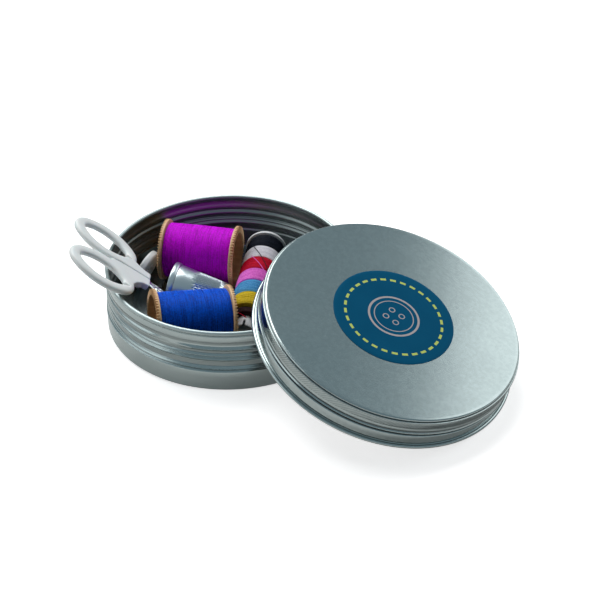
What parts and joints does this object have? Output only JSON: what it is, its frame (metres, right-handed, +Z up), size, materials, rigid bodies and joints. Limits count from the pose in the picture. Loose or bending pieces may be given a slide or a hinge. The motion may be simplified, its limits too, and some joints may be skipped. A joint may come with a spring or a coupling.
{
  "type": "sewing tin",
  "caption": "Round screw-top metal tin, opened, its lid leaning on the rim; inside lie thread reels, a thimble, a tube of thread bands, scissors and a button.",
  "frame": {"origin": "middle of the tin's flat bottom, on the table", "axes": "+Z up; +X towards the side where the lid lies; +Y towards the back, away from the viewer of the picture"},
  "size_m": [0.1421, 0.1157, 0.0364],
  "materials": {
    "tin_metal": "satin, spun",
    "lid_metal": "brushed",
    "liner": "fine foam",
    "label": "printed, smooth",
    "spool_wood": "pale, matt",
    "magenta_yarn": "wound sewing thread",
    "blue_yarn": "wound sewing thread",
    "thimble_metal": "polished, dimpled",
    "tube_white": "smooth",
    "black_yarn": "wound sewing thread",
    "white_yarn": "wound sewing thread",
    "red_yarn": "wound sewing thread",
    "pink_yarn": "wound sewing thread",
    "sky_yarn": "wound sewing thread",
    "yellow_yarn": "wound sewing thread",
    "brown_yarn": "wound sewing thread",
    "handle_plastic": "milky, slightly translucent",
    "blade_steel": "ground",
    "button_plastic": "milky"
  },
  "bodies": {
    "tin": {"tin_body": "tin_metal"},
    "lid": {"lid_shell": "lid_metal", "lid_liner": "liner", "lid_label": "label"},
    "magenta_reel": {"magenta_spool": "spool_wood", "magenta_thread": "magenta_yarn"},
    "blue_reel": {"blue_spool": "spool_wood", "blue_thread": "blue_yarn"},
    "thimble": {"thimble": "thimble_metal"},
    "thread_tube": {"thread_tube": "tube_white", "black_thread": "black_yarn", "white_thread": "white_yarn", "red_thread": "red_yarn", "pink_thread": "pink_yarn", "sky_thread": "sky_yarn", "yellow_thread": "yellow_yarn", "brown_thread": "brown_yarn"},
    "scissors_back": {"scissors_back_handle": "handle_plastic", "scissors_back_blade": "blade_steel"},
    "scissors_front": {"scissors_front_handle": "handle_plastic", "scissors_front_blade": "blade_steel", "scissors_rivet": "blade_steel"},
    "button": {"shirt_button": "button_plastic"}
  },
  "joints": [
    {"name": "lid_lift", "type": "slide", "parent": "tin", "child": "lid", "axis": [0, 0, 1], "range_m": [0, 0.05]},
    {"name": "magenta_reel_lift", "type": "slide", "parent": "tin", "child": "magenta_reel", "axis": [0.0182, -0.1029, 0.9945], "range_m": [0, 0.05]},
    {"name": "blue_reel_lift", "type": "slide", "parent": "tin", "child": "blue_reel", "axis": [-0.0476, 0.1308, 0.9903], "range_m": [0, 0.05]},
    {"name": "thimble_lift", "type": "slide", "parent": "tin", "child": "thimble", "axis": [0, 0, 1], "range_m": [0, 0.032]},
    {"name": "thread_tube_lift", "type": "slide", "parent": "tin", "child": "thread_tube", "axis": [0.1114, 0.3234, 0.9397], "range_m": [0, 0.045]},
    {"name": "scissors_pull", "type": "slide", "parent": "tin", "child": "scissors_back", "axis": [-0.8109, 0.0779, 0.5799], "range_m": [0, 0.042]},
    {"name": "scissors_pivot", "type": "hinge", "parent": "scissors_back", "child": "scissors_front", "pos_m": [-0.02301, -0.0089, 0.01515], "axis": [0.585, 0.0906, 0.806], "range_deg": [0, 5]},
    {"name": "button_lift", "type": "slide", "parent": "tin", "child": "button", "axis": [0, 0, 1], "range_m": [0, 0.045]}
  ]
}
